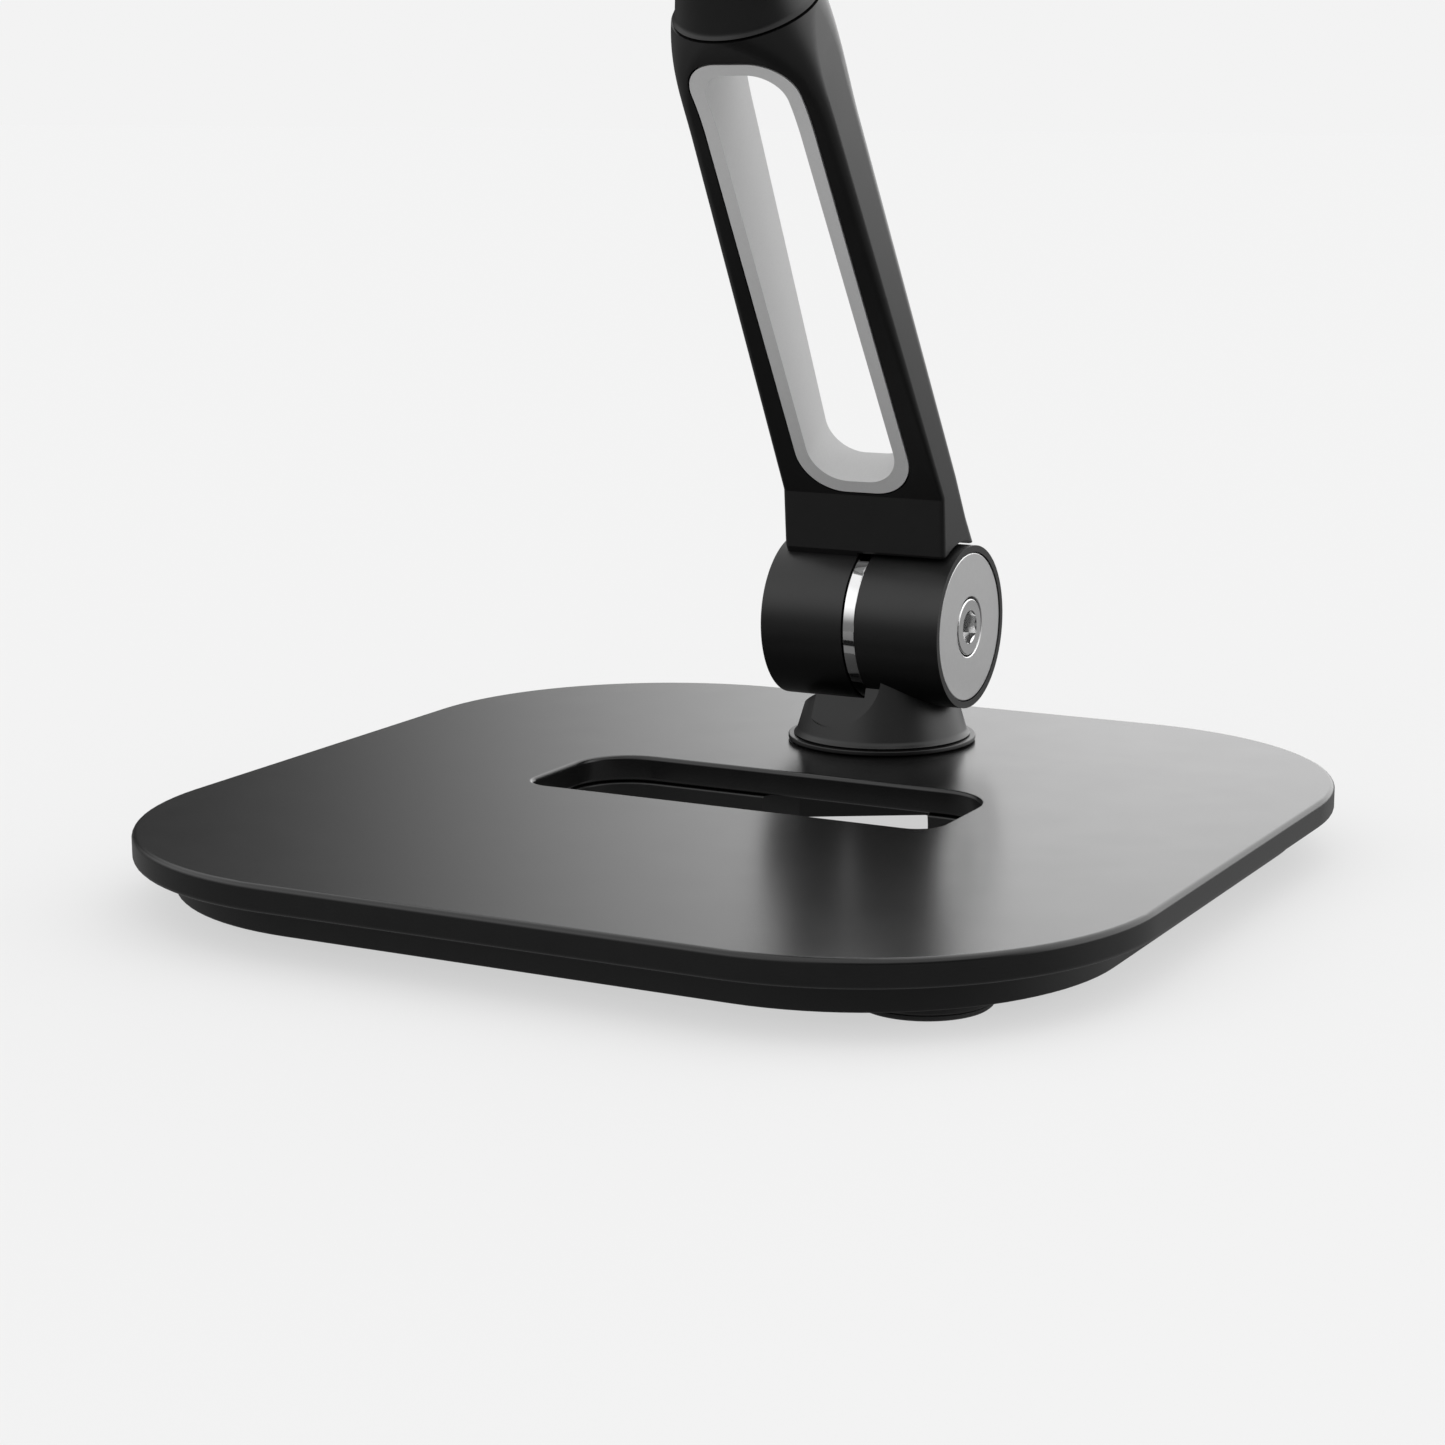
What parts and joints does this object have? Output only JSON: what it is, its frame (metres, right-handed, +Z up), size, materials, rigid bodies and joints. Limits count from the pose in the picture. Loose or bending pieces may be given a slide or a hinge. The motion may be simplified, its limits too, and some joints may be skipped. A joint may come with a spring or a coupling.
{
  "type": "articulated holder stand",
  "caption": "Desktop holder stand with a weighted rounded-square base, windowed folding arms on barrel hinges and a sprung clamp head.",
  "frame": {"origin": "middle of the base where the feet meet the table", "axes": "+X along the hinge pins to the right, +Y to the back, +Z up; the front is -Y"},
  "size_m": [0.191, 0.191, 0.3465],
  "materials": {
    "base_coat": "satin black anodised",
    "ballast_coat": "satin black powder coat on steel",
    "satin_black": "satin black coat",
    "rubber": "matt black rubber",
    "liner": "matt light grey, fine grain",
    "silver": "spun satin aluminium",
    "chrome": "bright chrome",
    "brass": "turned brass",
    "black_plastic": "fine-textured black plastic",
    "pad": "matt grey soft pad",
    "steel": "zinc-plated steel"
  },
  "bodies": {
    "base": {"base_plate": "base_coat", "base_ballast": "ballast_coat", "foot_1": "rubber", "foot_2": "rubber", "foot_3": "rubber", "foot_4": "rubber", "base_screw_1": "steel", "base_screw_2": "steel", "base_screw_3": "steel", "base_screw_4": "steel", "base_ring": "satin_black", "swivel_bush": "brass", "swivel_thrust_washer": "black_plastic"},
    "post": {"post": "satin_black", "swivel_disc_spring": "steel", "swivel_bolt": "steel", "hinge_pin": "steel", "hinge_cap_right": "silver", "hinge_friction_ring": "chrome", "hinge_disc_spring_1": "steel", "hinge_disc_spring_2": "steel", "hinge_nut": "steel"},
    "lower_arm": {"lower_arm": "satin_black", "lower_arm_liner": "liner", "hinge_cap_left": "silver", "collar_thrust_washer": "brass"},
    "elbow": {"elbow_post": "satin_black", "collar_screw": "steel", "collar_disc_spring": "steel", "elbow_pin": "steel", "elbow_cap_right": "silver", "elbow_friction_ring": "chrome", "elbow_disc_spring_1": "steel", "elbow_nut": "steel"},
    "upper_arm": {"upper_arm": "satin_black", "upper_arm_liner": "liner", "elbow_cap_left": "silver", "head_cap_left": "silver"},
    "neck": {"neck": "satin_black", "neck_screw": "steel", "head_pin": "steel", "head_cap_right": "silver", "head_friction_ring": "chrome", "head_disc_spring_1": "steel", "head_nut": "steel"},
    "clamp": {"clamp_cover": "satin_black", "clamp_housing": "black_plastic", "clamp_front_pad": "pad", "lower_jaw": "satin_black", "lower_jaw_screw_left": "steel", "lower_jaw_screw_right": "steel", "lower_jaw_pad_left": "pad", "lower_jaw_pad_right": "pad", "jaw_spring": "steel"},
    "slider": {"upper_jaw": "satin_black", "upper_jaw_pad_left": "pad", "upper_jaw_pad_right": "pad", "slide_rod_left": "steel", "slide_rod_right": "steel", "slide_bridge": "black_plastic"}
  },
  "joints": [
    {"name": "base_swivel", "type": "hinge", "parent": "base", "child": "post", "pos_m": [0, 0.057, 0.015], "axis": [0, 0, 1], "continuous": true},
    {"name": "lower_tilt", "type": "hinge", "parent": "post", "child": "lower_arm", "pos_m": [0, 0.057, 0.0376], "axis": [1, 0, 0], "range_deg": [-45, 40]},
    {"name": "collar_swivel", "type": "hinge", "parent": "lower_arm", "child": "elbow", "pos_m": [0, -0.00083, 0.15617], "axis": [0, -0.5, 0.866], "continuous": true},
    {"name": "elbow_tilt", "type": "hinge", "parent": "elbow", "child": "upper_arm", "pos_m": [0, -0.01103, 0.17384], "axis": [1, 0, 0], "range_deg": [-60, 50]},
    {"name": "head_tilt", "type": "hinge", "parent": "upper_arm", "child": "neck", "pos_m": [0, 0.01417, 0.29649], "axis": [1, 0, 0], "range_deg": [-80, 0]},
    {"name": "clamp_turn", "type": "hinge", "parent": "neck", "child": "clamp", "pos_m": [0, -0.01583, 0.29649], "axis": [0, 1, 0], "continuous": true},
    {"name": "jaw_slide", "type": "slide", "parent": "clamp", "child": "slider", "axis": [0, 0, 1], "range_m": [0, 0.04], "stiffness_N_per_m": 150, "springref_m": -0.03, "deforming": ["jaw_spring"]}
  ]
}
